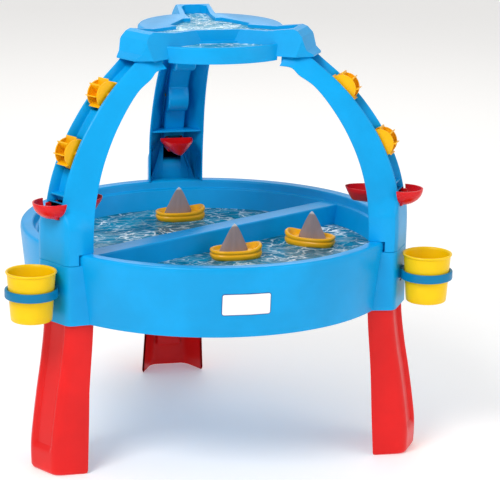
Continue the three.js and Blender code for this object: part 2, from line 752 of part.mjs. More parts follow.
add(group, 'basin', basin(), bluePlastic());
add(group, 'top_tray', topTray(), bluePlastic());
add(group, 'front_label', frontLabel(), labelFilm());
for (const [side, azimuth] of Object.entries(SIDES)) {
  const sector = new THREE.Group();
  sector.rotation.z = radians(azimuth);
  add(sector, `arm_${side}`, arm(), bluePlastic());
  add(sector, `leg_${side}`, leg(), redPlastic());
  add(sector, `scoop_${side}`, scoop(), redPlastic());
  for (const place of Object.keys(WHEEL_HUBS)) {
    const hub = wheelHub(place);
    add(sector, `wheel_${side}_${place}`, wheel(), yellowPlastic()).position.set(hub.x, 0, hub.y);
  }
  if (side !== 'rear') {
    add(sector, `cup_ring_${side}`, ring(), tealPlastic());
    add(sector, `cup_${side}`, cup(), yellowPlastic()).position.x = CUP_R;
  }
  group.add(sector);
}
Object.entries(BOATS).forEach(([name, place]) => addBoat(name, place));

export default group;
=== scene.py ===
"""Sand and water table: the finished surfaces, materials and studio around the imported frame."""
import math

import bmesh
import bpy
from bmesh.types import BMEdge, BMVert
from mathutils import Matrix, Vector


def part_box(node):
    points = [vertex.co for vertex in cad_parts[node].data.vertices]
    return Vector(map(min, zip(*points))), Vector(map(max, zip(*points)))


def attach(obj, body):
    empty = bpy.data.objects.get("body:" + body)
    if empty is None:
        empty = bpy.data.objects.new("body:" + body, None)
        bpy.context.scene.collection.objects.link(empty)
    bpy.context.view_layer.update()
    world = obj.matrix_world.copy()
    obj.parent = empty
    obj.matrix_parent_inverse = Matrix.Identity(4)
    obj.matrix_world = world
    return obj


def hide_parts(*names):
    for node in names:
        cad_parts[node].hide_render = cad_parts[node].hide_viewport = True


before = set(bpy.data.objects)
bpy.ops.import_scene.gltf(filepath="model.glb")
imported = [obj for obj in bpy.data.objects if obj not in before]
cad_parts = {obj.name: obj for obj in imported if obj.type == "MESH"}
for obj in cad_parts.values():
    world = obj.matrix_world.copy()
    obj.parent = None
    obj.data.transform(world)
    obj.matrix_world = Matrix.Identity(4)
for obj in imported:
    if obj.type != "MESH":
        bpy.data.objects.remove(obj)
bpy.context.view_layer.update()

bl_info = {
    "name": "Sand and Water Table",
    "version": (1, 0, 0),
    "blender": (4, 5, 0),
    "location": "3D View > Sidebar > Water Table",
    "description": "Builds a moulded plastic sand and water table around its packed frame",
    "category": "Add Mesh",
}

MM = 0.001
SIDES = {"rear": 90, "left": 210, "right": 330}
ROOT = "table"
BASIN_LOW, BASIN_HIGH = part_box("basin")
RIM_R = (BASIN_HIGH.x - BASIN_LOW.x) / 2 / MM
RIM_Z = BASIN_HIGH.z / MM
AXIS = Vector((0, BASIN_LOW.y + RIM_R * MM, 0))
GAP = 0.3  # clearance between neighbouring parts


# ---- building ------------------------------------------------------------------------------
def placed(bm, azimuth=0.0, move=(0, 0, 0)):
    """Turns millimetres round the basin's axis into the frame's metres."""
    matrix = Matrix.Translation(AXIS) @ Matrix.Rotation(math.radians(azimuth), 4, "Z")
    matrix = matrix @ Matrix.Scale(MM, 4) @ Matrix.Translation(move)
    bmesh.ops.transform(bm, matrix=matrix, verts=bm.verts)


def wide(face):
    """Whether a face is more than the strip of a rounded edge."""
    return face.calc_area() > 0.0016 * max(e.calc_length() for e in face.edges)


def flat(face):
    """Whether a wide face is no part of a curved wall."""
    near = [(e, f) for e in face.edges for f in e.link_faces if f is not face and wide(f)]
    return wide(face) and not any(0.02 < abs(e.calc_face_angle(0.0)) < 0.5 for e, f in near)


def finished(bm, name, material, body=ROOT, nodes=(), sharp=38, outward=True,
             planes=False):
    """Makes a bmesh a piece that rides on a body and stands for its CAD nodes."""
    bmesh.ops.remove_doubles(bm, verts=bm.verts, dist=2e-6)
    bmesh.ops.dissolve_degenerate(bm, edges=bm.edges, dist=1e-6)
    if outward:
        bmesh.ops.recalc_face_normals(bm, faces=bm.faces)
    limit = math.radians(sharp)
    for face in bm.faces:
        face.smooth = not (planes and flat(face))
    for edge in bm.edges:
        edge.smooth = len(edge.link_faces) != 2 or edge.calc_face_angle(0.0) < limit
    mesh = bpy.data.meshes.new(name)
    bm.to_mesh(mesh)
    bm.free()
    mesh.materials.append(material)
    piece = bpy.data.objects.new(name, mesh)
    bpy.context.scene.collection.objects.link(piece)
    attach(piece, body)
    if nodes:
        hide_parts(*nodes)
    return piece


def sweep(bm, rings, caps=True):
    """Extrudes a closed section through the places given for its corners."""
    row = [bm.verts.new(p) for p in rings[0]]
    edges = [bm.edges.new((row[i - 1], row[i])) for i in range(len(row))]
    first = list(edges)
    for ring in rings[1:]:
        made = bmesh.ops.extrude_edge_only(bm, edges=edges)["geom"]
        fresh = {v for v in made if isinstance(v, BMVert)}
        row = [next(e.other_vert(v) for e in v.link_edges if e.other_vert(v) in fresh) for v in row]
        for vert, place in zip(row, ring):
            vert.co = place
        edges = [e for e in made if isinstance(e, BMEdge) and all(v in fresh for v in e.verts)]
    if caps:
        for loop in (first, edges):
            bmesh.ops.triangle_fill(bm, use_beauty=True, edges=loop)


def spun(bm, profile, steps=96, closed=True):
    """Turns a profile of (radius, height) round the Z axis."""
    verts = [bm.verts.new((r, 0, z)) for r, z in profile]
    pairs = list(zip(verts, verts[1:]))
    if closed:
        pairs.append((verts[-1], verts[0]))
    edges = [bm.edges.new(pair) for pair in pairs]
    bmesh.ops.spin(bm, geom=verts + edges, axis=(0, 0, 1), cent=(0, 0, 0), steps=steps,
                   angle=2 * math.pi, use_merge=True)
    bmesh.ops.remove_doubles(bm, verts=bm.verts, dist=1e-3)


def rounded(points, radius, steps=3, closed=False):
    """A profile with its corners rounded."""
    out = []
    count = len(points)
    for i, point in enumerate(points):
        here = Vector(point)
        if not closed and i in (0, count - 1):
            out.append(tuple(here))
            continue
        before, after = Vector(points[i - 1]) - here, Vector(points[(i + 1) % count]) - here
        reach = min(radius, before.length * 0.45, after.length * 0.45)
        start, end = here + before.normalized() * reach, here + after.normalized() * reach
        for k in range(steps + 1):
            t = k / steps
            out.append(tuple(start * (1 - t) ** 2 + here * 2 * t * (1 - t) + end * t * t))
    return out


def mirrored(half):
    """A closed outline from its half on the -Y side."""
    return list(half) + [(x, -y) for x, y in reversed(half)]


def level(outline, z):
    return [(x, y, z) for x, y in outline]


def edge_bevel(bm, width, angle=30, segments=2):
    """Rounds every edge that turns by more than an angle."""
    limit = math.radians(angle)
    edges = [e for e in bm.edges if len(e.link_faces) == 2 and e.calc_face_angle(0.0) > limit]
    bmesh.ops.bevel(bm, geom=edges, offset=width, offset_type="OFFSET", affect="EDGES",
                    segments=segments, profile=0.5, material=-1, clamp_overlap=True)


def window(bm, low, high):
    """Cuts an opening through the walls that cross a box and joins the two sides of each."""
    def near():
        return [f for f in bm.faces if all(
            min(v.co[i] for v in f.verts) < high[i] + 1
            and max(v.co[i] for v in f.verts) > low[i] - 1
            for i in range(3))]
    span = [i for i in range(3) if high[i] < 900]
    for i in span:
        for at in (low[i], high[i]):
            normal = [0, 0, 0]
            normal[i] = 1
            place = [0, 0, 0]
            place[i] = at
            faces = near()
            geom = faces + list({e for f in faces for e in f.edges}
                                | {v for f in faces for v in f.verts})
            bmesh.ops.bisect_plane(bm, geom=geom, dist=1e-4, plane_co=place, plane_no=normal)
    inside = [f for f in bm.faces if all(
        low[i] - 1e-3 <= f.calc_center_median()[i] <= high[i] + 1e-3 for i in range(3))]
    bmesh.ops.delete(bm, geom=inside, context="FACES")
    rims = [e for e in bm.edges if len(e.link_faces) == 1]
    if rims:
        bmesh.ops.bridge_loops(bm, edges=rims)


def bar_of(bm, outline, low, high, bevel=0.0):
    """A closed bar on a plan outline, between two heights."""
    part = bmesh.new()
    sweep(part, [level(outline, low), level(outline, high)])
    if bevel:
        edge_bevel(part, bevel)
    merge(bm, part)


def merge(bm, part):
    """Adds one bmesh to another."""
    mesh = bpy.data.meshes.new("part")
    bmesh.ops.recalc_face_normals(part, faces=part.faces)
    part.to_mesh(mesh)
    part.free()
    bm.from_mesh(mesh)
    bpy.data.meshes.remove(mesh)


def smooth_step(t):
    t = max(0.0, min(1.0, t))
    return t * t * (3 - 2 * t)


def spline(points, steps):
    """A smooth curve through points, at even lengths."""
    ends = [points[0]] + list(points) + [points[-1]]
    dense = []
    for i in range(1, len(ends) - 2):
        p0, p1, p2, p3 = (Vector(p) for p in ends[i - 1:i + 3])
        for k in range(16):
            t = k / 16
            dense.append(0.5 * ((2 * p1) + (p2 - p0) * t + (2 * p0 - 5 * p1 + 4 * p2 - p3) * t * t
                                + (3 * p1 - p0 - 3 * p2 + p3) * t ** 3))
    dense.append(Vector(points[-1]))
    lengths = [0.0]
    for a, b in zip(dense, dense[1:]):
        lengths.append(lengths[-1] + (b - a).length)
    out = []
    j = 0
    for k in range(steps + 1):
        want = lengths[-1] * k / steps
        while j < len(lengths) - 2 and lengths[j + 1] < want:
            j += 1
        t = (want - lengths[j]) / (lengths[j + 1] - lengths[j])
        out.append(dense[j].lerp(dense[j + 1], min(1.0, t)))
    return out


# ---- materials -----------------------------------------------------------------------------
class Value:
    """A socket that can be used in an expression; each step adds a Math node."""

    def __init__(self, finish, socket):
        self.finish = finish
        self.socket = socket

    def _with(self, operation, first, second=None):
        sockets = {0: first} if second is None else {0: first, 1: second}
        return self.finish.node("ShaderNodeMath", {"operation": operation}, sockets)

    def __add__(self, other):
        return self._with("ADD", self, other)

    __radd__ = __add__

    def __sub__(self, other):
        return self._with("SUBTRACT", self, other)

    def __rsub__(self, other):
        return self._with("SUBTRACT", other, self)

    def __mul__(self, other):
        return self._with("MULTIPLY", self, other)

    __rmul__ = __mul__

    def __pow__(self, other):
        return self._with("POWER", self, other)

    def __abs__(self):
        return self._with("ABSOLUTE", self)

    def least(self, other):
        return self._with("MINIMUM", self, other)

    def most(self, other):
        return self._with("MAXIMUM", self, other)

    def between(self, low, high):
        """0 below low, 1 above high, smooth in between."""
        return self.finish.node("ShaderNodeMapRange", {"interpolation_type": "SMOOTHSTEP"},
                                {"Value": self, "From Min": low, "From Max": high})


class Finish:
    """A procedural material of one principled surface."""

    def __init__(self, name, **surface):
        self.material = bpy.data.materials.new(name)
        self.material.use_nodes = True
        self.tree = self.material.node_tree
        self.tree.nodes.clear()
        self.surface = self.tree.nodes.new("ShaderNodeBsdfPrincipled")
        output = self.tree.nodes.new("ShaderNodeOutputMaterial")
        self.tree.links.new(self.surface.outputs[0], output.inputs["Surface"])
        for socket, value in surface.items():
            label = socket.replace("_", " ").title().replace("Ior", "IOR")
            self.surface.inputs[label].default_value = value
        place = self.tree.nodes.new("ShaderNodeTexCoord")
        self.place = Value(self, place.outputs["Object"])

    def node(self, kind, settings=None, sockets=None, out=0):
        """One node: its settings first, then the values or links of its sockets."""
        made = self.tree.nodes.new(kind)
        for setting, value in (settings or {}).items():
            if setting == "stops":
                ramp = made.color_ramp
                while len(ramp.elements) < len(value):
                    ramp.elements.new(0.5)
                for element, (at, colour) in zip(ramp.elements, value):
                    element.position = at
                    element.color = colour
            else:
                setattr(made, setting, value)
        for socket, value in (sockets or {}).items():
            if isinstance(value, Value):
                self.tree.links.new(value.socket, made.inputs[socket])
            else:
                made.inputs[socket].default_value = value
        return Value(self, made.outputs[out])

    def noise(self, scale, detail=3.0, rough=0.5, at=None, stretch=None):
        """Noise from 0 to 1 over the object's own coordinates."""
        place = at or self.place
        if stretch:
            place = self.node("ShaderNodeMapping", None, {"Vector": place, "Scale": stretch})
        return self.node("ShaderNodeTexNoise", None,
                         {"Vector": place, "Scale": scale, "Detail": detail, "Roughness": rough})

    def cells(self, scale, feature="DISTANCE_TO_EDGE", at=None):
        return self.node("ShaderNodeTexVoronoi", {"feature": feature},
                         {"Vector": at or self.place, "Scale": scale})

    def axis(self, index):
        """One coordinate of the place on the object, in metres."""
        return self.node("ShaderNodeSeparateXYZ", None, {"Vector": self.place}, out=index)

    def mix(self, factor, first, second, blend="MIX"):
        return self.node("ShaderNodeMix", {"data_type": "RGBA", "blend_type": blend},
                         {0: factor, 6: first, 7: second}, out=2)

    def set(self, **links):
        for socket, value in links.items():
            self.tree.links.new(value.socket, self.surface.inputs[socket.replace("_", " ")])
        return self.material

    def bump(self, height, strength, distance):
        return self.node("ShaderNodeBump", None,
                         {"Height": height, "Strength": strength, "Distance": distance})


def shade(colour, factor):
    return (colour[0] * factor, colour[1] * factor, colour[2] * factor, 1.0)


def moulded(name, colour, rough=0.34, grain=0.35, scuff=0.16, coat=0.04, shadow=0.88):
    """Moulded plastic: uneven pigment, a fine moulded grain, rubbed patches and faint scratches."""
    look = Finish(name, coat_weight=coat, coat_roughness=0.12, specular_ior_level=0.2)
    pigment = look.noise(9.0, 4.0, 0.55)
    base = look.mix(pigment.between(0.3, 0.75), shade(colour, shadow), shade(colour, 1.05))
    flow = look.noise(3.0, 2.0, 0.5, stretch=(1.0, 1.0, 6.0)).between(0.42, 0.7)
    base = look.mix(flow * 0.35, base, shade(colour, 0.9))
    scratches = look.cells(60.0, at=look.node(
        "ShaderNodeMapping", None,
        {"Vector": look.place, "Scale": (1.0, 0.12, 1.6), "Rotation": (0.4, 0.2, 0.6)}))
    worn = look.noise(28.0, 5.0, 0.6).between(0.56, 0.72)
    marks = (1.0 - scratches.between(0.004, 0.02)) * worn * scuff
    pale = tuple(min(1.0, c * 1.2 + 0.02) for c in colour[:3]) + (1.0,)
    base = look.mix(marks, base, pale)
    grime = look.noise(6.0, 5.0, 0.7).between(0.55, 0.8) * 0.12
    base = look.mix(grime, base, shade(colour, 0.62))
    roughness = look.noise(22.0, 4.0, 0.6) * 0.16 + (rough - 0.08) + marks * 0.25
    fine = look.noise(900.0, 2.0, 0.5) * grain + look.noise(14.0, 2.0, 0.5) * 0.9
    return look.set(Base_Color=base, Roughness=roughness, Normal=look.bump(fine, 0.22, 0.0012))


def water(name, deep, light, foam_and_caustic, foam_and_caustic_amount=0.7, scale=42.0):
    """Rippled water with painted caustic light: bright threads, gathered in foam patches, painted
    into its colour, and a painted glow.
    """
    # Emission Strength 0.22 gives all the water a painted glow, with no lamp in it.
    look = Finish(name, coat_roughness=0.05, specular_ior_level=0.08, emission_strength=0.22)
    bend = look.node("ShaderNodeTexNoise", None,
                     {"Vector": look.place, "Scale": 11.0, "Detail": 4.0, "Roughness": 0.6}, out=1)
    bent = look.node("ShaderNodeVectorMath", {"operation": "MULTIPLY_ADD"},
                     {0: bend, 1: (0.11, 0.11, 0.0), 2: look.place})
    drawn = look.node("ShaderNodeMapping", None, {"Vector": bent, "Scale": (0.75, 1.35, 0.2)})
    threads = 1.0 - look.cells(scale, at=drawn).between(0.01, 0.1)
    finer = 1.0 - look.cells(scale * 2.1, at=drawn).between(0.0, 0.09)
    patches = look.noise(13.0, 4.0, 0.65, at=bent).between(0.62 - 0.3 * foam_and_caustic_amount, 0.74)
    base = look.mix(look.noise(16.0, 4.0, 0.6, at=bent).between(0.35, 0.66), deep, light)
    # Painted caustic light and foam: bright threads, strongest in the patches, painted over the
    # water colour.
    caustics_and_foam = (threads + finer * 0.6 * patches).least(1.0) * (0.12 + 0.88 * patches)
    base = look.mix(caustics_and_foam, base, foam_and_caustic)
    height = look.noise(30.0, 4.0, 0.55, at=bent) + caustics_and_foam * 0.35
    roughness = 0.1 + caustics_and_foam * 0.3
    # Painted glow: half the lighter water colour, turning to the caustic white on the threads.
    glow = look.mix(caustics_and_foam, shade(light, 0.5), foam_and_caustic)
    return look.set(Base_Color=base, Roughness=roughness, Emission_Color=glow,
                    Normal=look.bump(height, 0.5, 0.006))


def label_film(name, centre, half_width, half_height, border):
    """Blank white film with a thin border, round at its corners."""
    look = Finish(name, roughness=0.42, coat_weight=0.35, coat_roughness=0.1)
    across = look.axis(0) - centre.x
    up = look.axis(2) - centre.z
    corner = 0.004
    beyond_x = (abs(across) - (half_width - corner)).most(0.0)
    beyond_z = (abs(up) - (half_height - corner)).most(0.0)
    reach = (beyond_x * beyond_x + beyond_z * beyond_z) ** 0.5
    edge = reach.between(corner - 0.0012, corner - 0.0007)
    paper = look.mix(look.noise(30.0, 3.0, 0.5), (0.86, 0.87, 0.88, 1), (0.95, 0.95, 0.94, 1))
    base = look.mix(edge, paper, border)
    return look.set(Base_Color=base, Normal=look.bump(look.noise(400.0, 2.0, 0.5), 0.08, 0.0004))


def sail_plastic(name, colour, tip):
    """Satin grey plastic, paler at the masthead, with a soft vertical drag."""
    look = Finish(name, coat_weight=0.1, coat_roughness=0.3)
    drag = look.noise(14.0, 4.0, 0.6, stretch=(3.0, 3.0, 0.5))
    base = look.mix(drag.between(0.3, 0.7), shade(colour, 0.86), shade(colour, 1.12))
    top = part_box("boat_front_sail")[1].z
    head = look.axis(2).between(top - 0.006, top - 0.002)
    base = look.mix(head, base, tip)
    roughness = look.noise(40.0, 3.0, 0.5) * 0.15 + 0.42
    grain = look.noise(700.0, 2.0, 0.5) * 0.4 + drag * 0.6
    return look.set(Base_Color=base, Roughness=roughness, Normal=look.bump(grain, 0.25, 0.0008))


def studio_paper(name, colour):
    """Seamless pale floor with the faintest tooth."""
    look = Finish(name, roughness=0.6, specular_ior_level=0.1, emission_color=(1, 1, 1, 1),
                  emission_strength=0.2)
    tone = look.noise(2.0, 3.0, 0.5)
    base = look.mix(tone, shade(colour, 0.985), colour)
    return look.set(Base_Color=base, Normal=look.bump(look.noise(300.0, 2.0, 0.5), 0.05, 0.0005))


# ---- settings ------------------------------------------------------------------------------
def colour_setting(name, description, default):
    return bpy.props.FloatVectorProperty(name=name, description=description, default=default,
                                         size=4, subtype="COLOR", min=0.0, max=1.0)


def length_setting(name, description, default):
    return bpy.props.FloatProperty(name=name, description=description, default=default,
                                   unit="LENGTH", precision=4, min=0.0)


class WaterTableSizes(bpy.types.PropertyGroup):
    """Sizes that finish the table's surfaces."""
    wall: length_setting("Wall", "Thickness of the moulded walls", 0.003)
    water_level: length_setting("Pool water level", "Height of the water in the pools", 0.308)
    tray_level: length_setting("Tray water level", "Height of the water on the top tray", 0.6745)
    low_level: length_setting("Front pool level", "Height of the water in the tray's low pool",
                              0.6585)
    ripple: length_setting("Ripple", "Height of the waves in the pools", 0.0011)
    edge: length_setting("Edge rounding", "Radius of the moulded edges", 0.0014)
    paddles: bpy.props.IntProperty(name="Paddles", description="Paddles on each water wheel",
                                   default=8, min=3, max=16)


class WaterTableColours(bpy.types.PropertyGroup):
    """Colours of the table's plastics and water."""
    body: colour_setting("Body", "Basin, arms and top tray", (0.0, 0.37, 0.80, 1))
    legs: colour_setting("Legs", "Legs", (0.80, 0.012, 0.012, 1))
    scoops: colour_setting("Scoops", "Scoops on the arms", (0.74, 0.008, 0.012, 1))
    wheels: colour_setting("Wheels", "Water wheels", (0.98, 0.50, 0.004, 1))
    cups: colour_setting("Cups", "Loose cups", (0.98, 0.62, 0.0, 1))
    rings: colour_setting("Rings", "Cup rings", (0.0, 0.20, 0.42, 1))
    hulls: colour_setting("Hulls", "Boat hulls", (0.98, 0.47, 0.006, 1))
    sails: colour_setting("Sails", "Boat sails", (0.29, 0.225, 0.225, 1))
    deep_water: colour_setting("Deep water", "Darker water", (0.001, 0.09, 0.16, 1))
    light_water: colour_setting("Light water", "Lighter water", (0.002, 0.22, 0.36, 1))
    # Colour of the painted caustic threads and the foam patches, and of the painted glow on them.
    foam_and_caustic: colour_setting("Foam", "Bright threads and foam", (0.9, 0.98, 1.0, 1))


def sizes():
    return bpy.context.scene.water_table_sizes


def colours():
    return bpy.context.scene.water_table_colours


def body_plastic():
    found = bpy.data.materials.get("body_plastic")
    return found or moulded("body_plastic", tuple(colours().body), rough=0.33)


# ---- basin ---------------------------------------------------------------------------------
class WATERTABLE_OT_basin(bpy.types.Operator):
    """Basin with a rolled rim, a ledge, two pools and three corner lobes"""
    bl_idname = "water_table.basin"
    bl_label = "Basin"

    LEDGE_Z = 341.5
    FLOOR_Z = 266.0
    SKIRT_R = 298.0
    SKIRT_Z = 242.5
    LOBE_TOP = 339.0
    DIVIDER_AZIMUTH = 30

    def shell(self, bm, wall):
        inner = [
            (0, self.FLOOR_Z), (258, self.FLOOR_Z), (267, self.FLOOR_Z + 8), (280.6, self.LEDGE_Z),
            (285.4, self.LEDGE_Z), (288, RIM_Z), (RIM_R - 1, RIM_Z), (RIM_R, RIM_Z - 9),
            (self.SKIRT_R, self.SKIRT_Z), (self.SKIRT_R - wall, self.SKIRT_Z),
            (RIM_R - wall, RIM_Z - 10), (RIM_R - 8, RIM_Z - wall), (292, RIM_Z - wall),
            (289.5, self.LEDGE_Z - wall), (282.5, self.LEDGE_Z - wall), (270, self.FLOOR_Z + 7),
            (259, self.FLOOR_Z - wall), (0, self.FLOOR_Z - wall),
        ]
        spun(bm, rounded(inner, 4.2, 4), steps=144, closed=False)

    def divider(self, bm, wall):
        part = bmesh.new()
        low, top = self.FLOOR_Z - wall, self.LEDGE_Z
        half = rounded([(-21.0, low), (-18.0, top), (18.0, top), (21.0, low)], 3.4, 4)
        reach = {low: 262.0, top: 281.3}
        rings = []
        steps = 40
        for i in range(steps + 1):
            side = -1 + 2 * i / steps
            rings.append([(side * (reach[low] + (reach[top] - reach[low]) * (z - low) / (top - low)),
                           y, z) for y, z in half])
        sweep(part, rings)
        bmesh.ops.rotate(part, verts=part.verts, cent=(0, 0, 0),
                         matrix=Matrix.Rotation(math.radians(self.DIVIDER_AZIMUTH), 3, "Z"))
        merge(bm, part)

    def lobe(self, bm, azimuth, wall):
        part = bmesh.new()
        plan = [(286, -54.5), (305, -46), (317, -41.5), (323.5, -38), (326.5, -31), (326.5, -10)]
        outer = mirrored(rounded(plan, 5, 3))
        inset = mirrored(rounded([(x - 1.2, y + 1.2) for x, y in plan], 5, 3))
        inner = mirrored(rounded([(284, -51.5), (305, -42.6), (316, -38.2), (320.8, -35.6),
                                  (323.3, -29.5), (323.3, -10)], 5, 3))
        low = self.SKIRT_Z
        sweep(part, [level(inner, self.LOBE_TOP - wall), level(inner, low), level(outer, low),
                     level(outer, self.LOBE_TOP - 1.4), level(inset, self.LOBE_TOP)])
        window(part, (319, -6, 283), (330, 6, 295))
        bmesh.ops.rotate(part, verts=part.verts, cent=(0, 0, 0),
                         matrix=Matrix.Rotation(math.radians(azimuth), 3, "Z"))
        merge(bm, part)

    def execute(self, context):
        wall = sizes().wall / MM
        bm = bmesh.new()
        self.shell(bm, wall)
        bmesh.ops.recalc_face_normals(bm, faces=bm.faces)
        self.divider(bm, wall)
        for azimuth in SIDES.values():
            self.lobe(bm, azimuth, wall)
        placed(bm)
        finished(bm, "basin_shell", body_plastic(), nodes=["basin"], outward=False)
        return {"FINISHED"}


class WATERTABLE_OT_water(bpy.types.Operator):
    """Rippled water in both pools and on the top tray"""
    bl_idname = "water_table.water"
    bl_label = "Water"

    HOOD_HALF = 34.0

    def wave(self, x, y):
        return (math.sin(x * 0.055 + 0.6 * math.sin(y * 0.03))
                + 0.7 * math.sin(y * 0.083 + x * 0.021)
                + 0.5 * math.sin((x - y) * 0.13)) / 2.2

    def pools(self, level_z, ripple, material):
        bm = bmesh.new()
        reach = 266.4 + (level_z - 274.0) * 13.6 / 67.5
        radii = [reach * i / 60 for i in range(61)]
        spun(bm, [(r, level_z) for r in radii], steps=160, closed=False)
        for vert in bm.verts:
            far = min(1.0, (reach - vert.co.xy.length) / 8)
            vert.co.z += ripple * self.wave(vert.co.x, vert.co.y) * max(0.0, far)
        turn = math.radians(30)
        across = Vector((-math.sin(turn), math.cos(turn), 0))
        half = 19.0
        for side in (-1, 1):
            bmesh.ops.bisect_plane(bm, geom=bm.faces[:] + bm.edges[:] + bm.verts[:], dist=1e-4,
                                   plane_co=across * half * side, plane_no=across)
        strip = [f for f in bm.faces if abs(f.calc_center_median().dot(across)) < half]
        bmesh.ops.delete(bm, geom=strip, context="FACES")
        bmesh.ops.recalc_face_normals(bm, faces=bm.faces)
        if sum(f.normal.z for f in bm.faces) < 0:
            bmesh.ops.reverse_faces(bm, faces=bm.faces)
        placed(bm)
        finished(bm, "pool_water", material, outward=False)

    def sheet(self, name, outline, z, material):
        bm = bmesh.new()
        verts = [bm.verts.new((x, y, z)) for x, y in outline]
        edges = [bm.edges.new((verts[i - 1], verts[i])) for i in range(len(verts))]
        bmesh.ops.triangle_fill(bm, use_beauty=True, edges=edges)
        for _ in range(4):
            long_edges = [e for e in bm.edges if e.calc_length() > 5]
            bmesh.ops.subdivide_edges(bm, edges=long_edges, cuts=1, use_grid_fill=False)
        bmesh.ops.triangulate(bm, faces=bm.faces)
        for vert in bm.verts:
            if not vert.is_boundary:
                vert.co.z += 0.9 * self.wave(vert.co.x * 2.3, vert.co.y * 2.3)
        bmesh.ops.recalc_face_normals(bm, faces=bm.faces)
        if sum(f.normal.z for f in bm.faces) < 0:
            bmesh.ops.reverse_faces(bm, faces=bm.faces)
        placed(bm)
        finished(bm, name, material, outward=False)

    def execute(self, context):
        tones = colours()
        pool = water("pool_water", tuple(tones.deep_water), tuple(tones.light_water),
                     tuple(tones.foam_and_caustic))
        tray_foam_and_caustics = water("tray_water", tuple(tones.light_water), (0.1, 0.42, 0.6, 1),
                      tuple(tones.foam_and_caustic),
                      foam_and_caustic_amount=1.0, scale=60.0)
        self.pools(sizes().water_level / MM, sizes().ripple / MM, pool)
        middle = [(36, -51), (66, 4), (33, 62), (-33, 62), (-66, 4), (-36, -51)]
        outline = []
        for i, azimuth in enumerate((330, 90, 210)):
            turn = math.radians(azimuth)
            out, left = Vector((math.cos(turn), math.sin(turn))), Vector((-math.sin(turn),
                                                                          math.cos(turn)))
            near = out.dot(Vector(middle[2 * i]))
            outline += [Vector(middle[2 * i])]
            outline += [out * r + left * side for r, side in (
                (near, -20.6), (135.5, -20.6), (142, -14), (142, 14), (135.5, 20.6), (near, 20.6))]
            outline += [Vector(middle[2 * i + 1])]
        self.sheet("tray_water", [(p.x, p.y) for p in outline], sizes().tray_level / MM, tray_foam_and_caustics)
        low = []
        for i in range(81):
            turn = math.radians(180 + 180 * i / 80)
            x, y = 110.5 * math.cos(turn), -40 + 73.5 * math.sin(turn)
            if abs(x) / 2 + math.cos(math.radians(30)) * y < -self.HOOD_HALF:
                low.append((x, y))
        low = [(-33.1, -58.4)] + low + [(33.1, -58.4)]
        self.sheet("front_pool_water", low, sizes().low_level / MM, tray_foam_and_caustics)
        return {"FINISHED"}


class WATERTABLE_OT_label(bpy.types.Operator):
    """Blank label on the front of the skirt"""
    bl_idname = "water_table.label"
    bl_label = "Label"

    def execute(self, context):
        low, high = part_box("front_label")
        film = label_film("label_film", (low + high) / 2, (high.x - low.x) / 2,
                          (high.z - low.z) / 2,
                          (0.01, 0.03, 0.2, 1))
        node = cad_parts["front_label"]
        node.data.materials.clear()
        node.data.materials.append(film)
        return {"FINISHED"}


# ---- arms ----------------------------------------------------------------------------------
INNER_EDGE = [(128, 627), (148, 625), (161, 614), (187, 598), (214, 569), (241, 530), (263, 485),
              (277, 437), (282, 390), (282.5, 339.3)]
OUTER_EDGE = [(140, 655), (163, 648), (186, 631), (221, 603), (254, 569), (286, 525), (310, 475),
              (322, 432), (326.5, 390), (326.5, 339.3)]
ARM_STATIONS = 110


